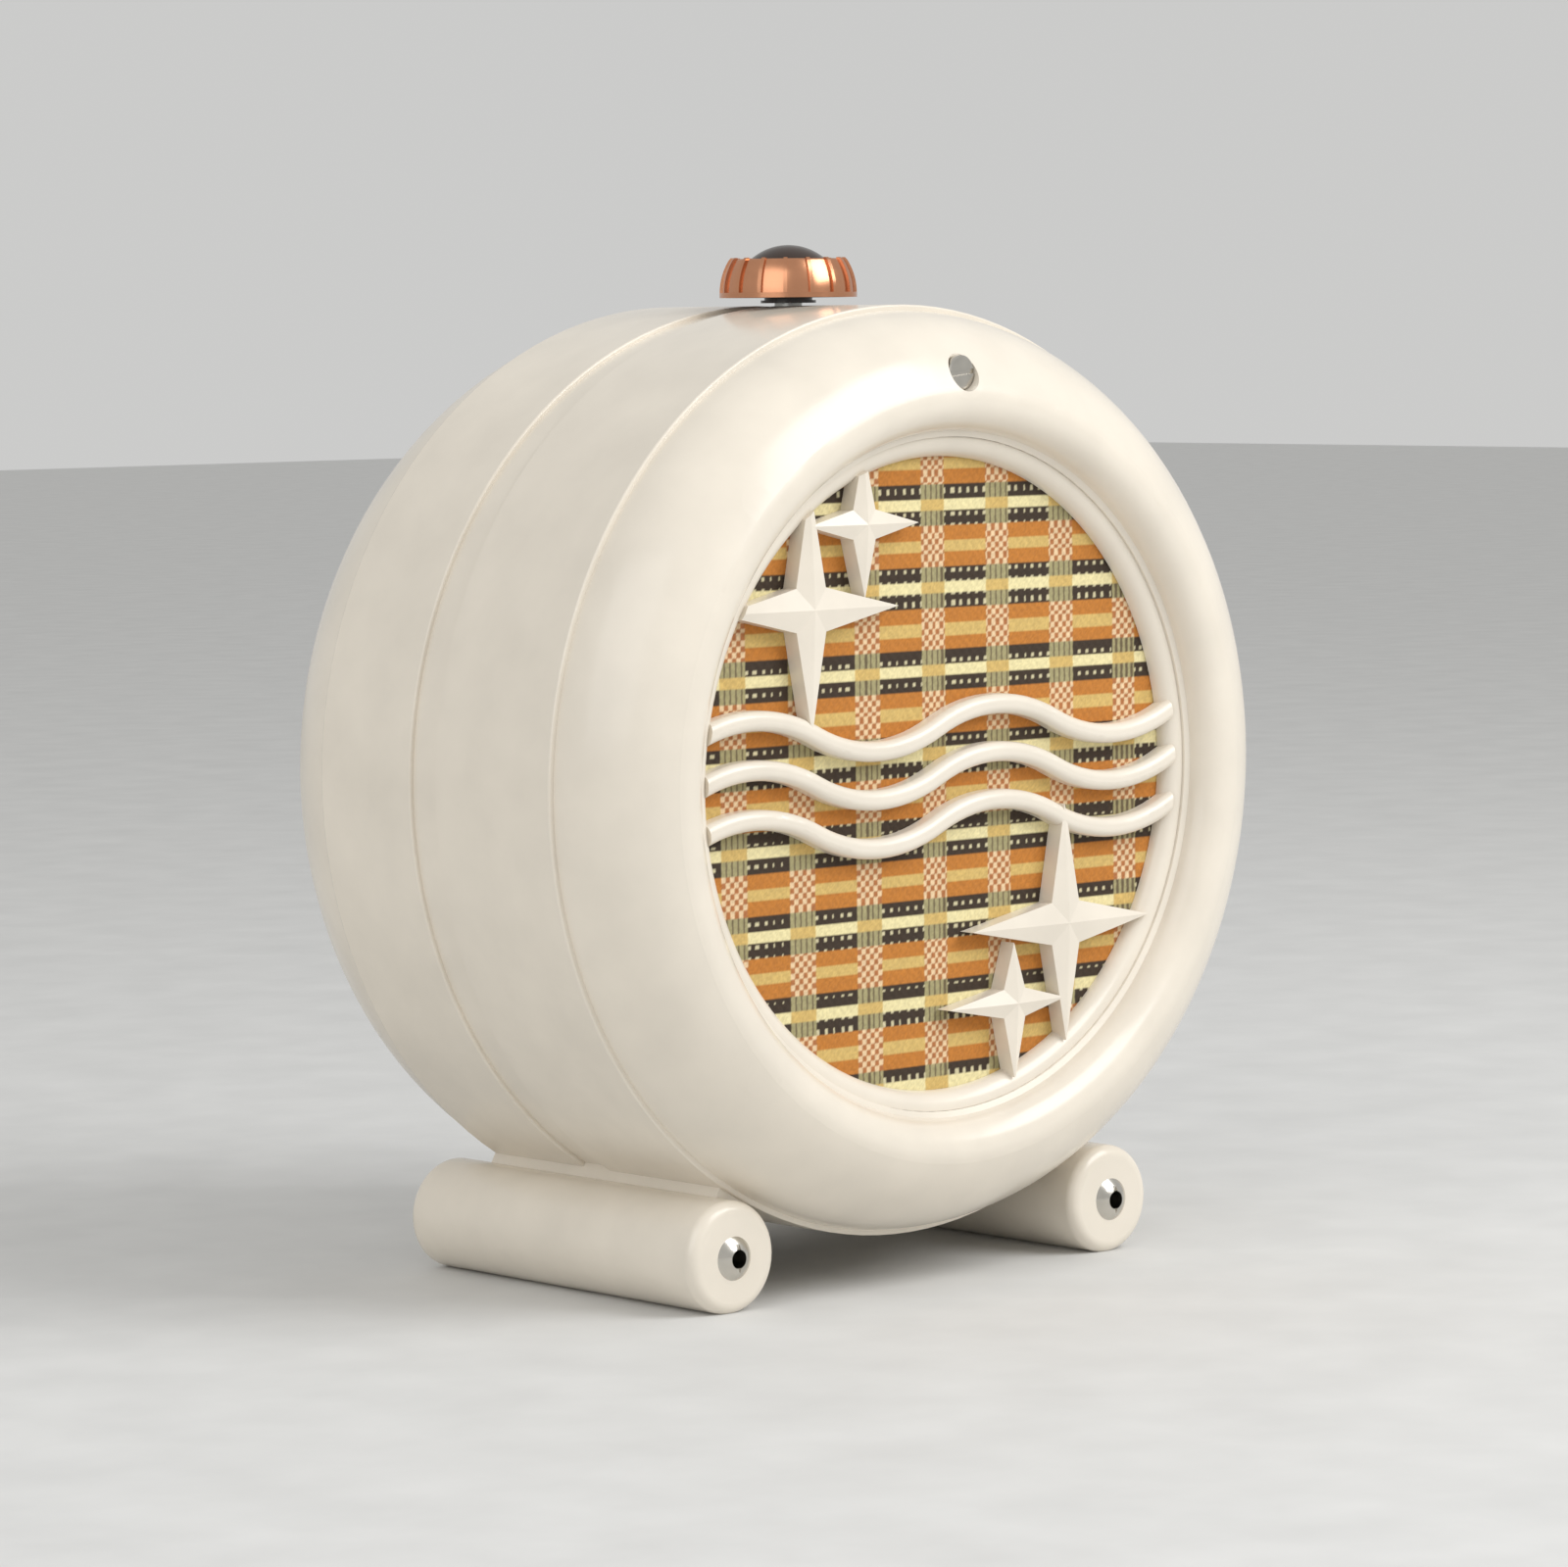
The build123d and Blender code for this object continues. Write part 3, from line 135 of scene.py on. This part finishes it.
def weave_colour(x, z):
    """Colour of the cloth at x, z millimetres from the drum's axis."""
    across = (x + 4.3) % 19.3
    down = (23.35 - z) % 17.7
    narrow = across < 7
    warp_up = (int(x // THREAD) + int(z // THREAD)) % 2 == 0
    if down < 2.5:
        return (0.75, 0.52, 0.17) if narrow else (0.95, 0.84, 0.46)
    if 5.7 <= down < 14.6:
        if narrow:
            return (0.91, 0.67, 0.40) if warp_up else (0.51, 0.19, 0.06)
        mid = abs(down - 10.15) < 1.3
        return (0.75, 0.52, 0.17) if mid else (0.60, 0.22, 0.03)
    if narrow:
        return (0.43, 0.38, 0.19) if across % 1.6 < 1.1 else (0.16, 0.12, 0.06)
    dot = x % 2.4 < 0.8 and z % 2.4 < 0.8
    return (0.71, 0.64, 0.40) if dot else (0.045, 0.026, 0.013)


def weave_height(x, z):
    return math.sin(math.pi * x / THREAD) * math.cos(math.pi * z / THREAD)


def grille_cloth():
    lo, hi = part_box("speaker_cloth")
    centre = (lo + hi) / 2
    count = int(CLOTH_R / CLOTH_STEP)
    verts, colours, index = [], [], {}
    for i in range(-count, count + 1):
        for j in range(-count, count + 1):
            x, z = i * CLOTH_STEP, j * CLOTH_STEP
            if math.hypot(x, z) > CLOTH_R:
                continue
            index[i, j] = len(verts)
            y = lo.y + RELIEF * (1 - weave_height(x / MM, z / MM))
            verts.append((centre.x + x, y, centre.z + z))
            shade = RNG.uniform(0.8, 1.0)
            colours.append([c * shade for c in weave_colour(x / MM, z / MM)] + [1])
    faces = []
    for (i, j) in index:
        ring = [(i, j), (i + 1, j), (i + 1, j + 1), (i, j + 1)]
        if all(key in index for key in ring):
            faces.append([index[key] for key in ring])
    mesh = bpy.data.meshes.new("grille_cloth")
    mesh.from_pydata(verts, [], faces)
    layer = mesh.color_attributes.new("weave", "FLOAT_COLOR", "POINT")
    layer.data.foreach_set("color", [c for colour in colours for c in colour])
    mesh.materials.append(finish_material("grille_weave", LOOKS["woven_cloth"], "weave"))
    cloth = bpy.data.objects.new("grille_cloth", mesh)
    bpy.context.scene.collection.objects.link(cloth)
    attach(cloth, "case")
    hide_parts("speaker_cloth")


def floor():
    ground = CAD_BOX[0].z
    bpy.ops.mesh.primitive_plane_add(size=12, location=(0, 0, ground))
    obj = bpy.context.object
    obj.name = "studio_floor"
    look = ((0.74, 0.74, 0.73), 0.7, 0.0, 40, 0.0)
    obj.data.materials.append(finish_material("studio_floor", look))


def area_lamp(name, place, size, watts, target):
    data = bpy.data.lights.new(name, "AREA")
    data.size = size
    data.energy = watts
    lamp = bpy.data.objects.new(name, data)
    lamp.location = place
    lamp.rotation_euler = (target - place).to_track_quat("-Z", "Y").to_euler()
    bpy.context.scene.collection.objects.link(lamp)


def lights():
    target = (CAD_BOX[0] + CAD_BOX[1]) / 2
    area_lamp("key", Vector((0.55, -1.0, 1.0)), 0.9, 14, target)
    area_lamp("fill", Vector((-1.1, -0.4, 0.7)), 1.0, 4, target)
    world = bpy.data.worlds.new("studio")
    world.use_nodes = True
    background = world.node_tree.nodes["Background"]
    background.inputs["Color"].default_value = (0.80, 0.80, 0.79, 1)
    background.inputs["Strength"].default_value = 0.75
    bpy.context.scene.world = world


def camera():
    back = Vector((-0.67379, -0.73456, 0.08020)).normalized()
    right = Vector((0.73693, -0.67597, 0)).normalized()
    up = back.cross(right)
    roll = math.radians(-0.57)
    local_x = right * math.cos(roll) + up * math.sin(roll)
    local_y = up * math.cos(roll) - right * math.sin(roll)
    pose = Matrix((local_x, local_y, back)).transposed().to_4x4()
    pose.translation = Vector((-0.85418, -0.93666, 0.20709))
    data = bpy.data.cameras.new("photo_camera")
    data.sensor_width = 36
    data.lens = 132.45
    cam = bpy.data.objects.new("photo_camera", data)
    cam.matrix_world = pose
    bpy.context.scene.collection.objects.link(cam)
    bpy.context.scene.camera = cam


paint_cad()
grille_cloth()
floor()
lights()
camera()
bpy.context.scene.view_settings.view_transform = "Standard"
